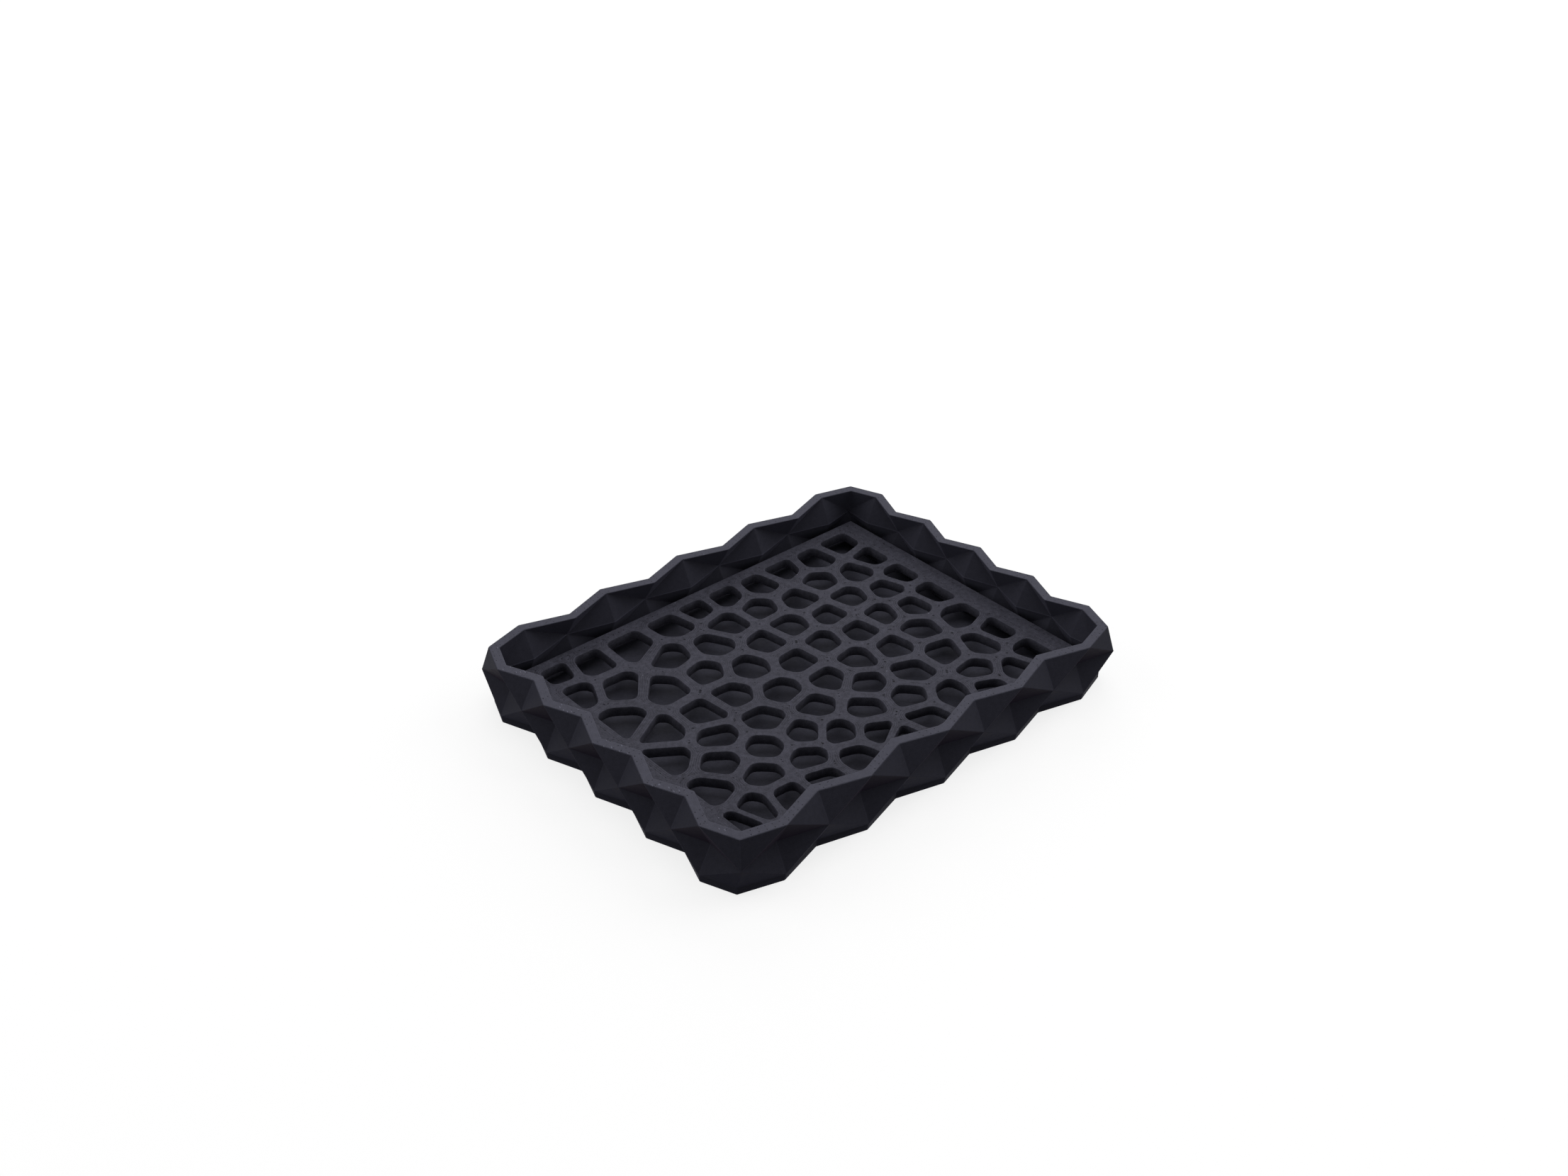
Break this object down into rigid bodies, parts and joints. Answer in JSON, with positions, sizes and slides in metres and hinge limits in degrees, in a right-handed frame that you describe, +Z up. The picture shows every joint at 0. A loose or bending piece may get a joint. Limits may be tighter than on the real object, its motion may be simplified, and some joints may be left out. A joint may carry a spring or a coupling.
{
  "type": "soap dish",
  "caption": "Rectangular soap dish: a shallow tray with a faceted zigzag wall and a flat drain grid of rounded Voronoi cells that lifts out.",
  "frame": {"origin": "middle of the tray's underside", "axes": "+Z up, +X along the long walls, +Y along the short walls towards the back"},
  "size_m": [0.116, 0.088, 0.0143],
  "materials": {
    "tray_plastic": "matte charcoal printed plastic with fine layer lines",
    "grid_plastic": "matte charcoal printed plastic with print lines that follow the cells"
  },
  "bodies": {
    "dish": {"tray": "tray_plastic"},
    "grid": {"drain_grid": "grid_plastic"}
  },
  "joints": [
    {"name": "grid_lift", "type": "slide", "parent": "dish", "child": "grid", "axis": [0, 0, 1], "range_m": [0, 0.03]}
  ]
}
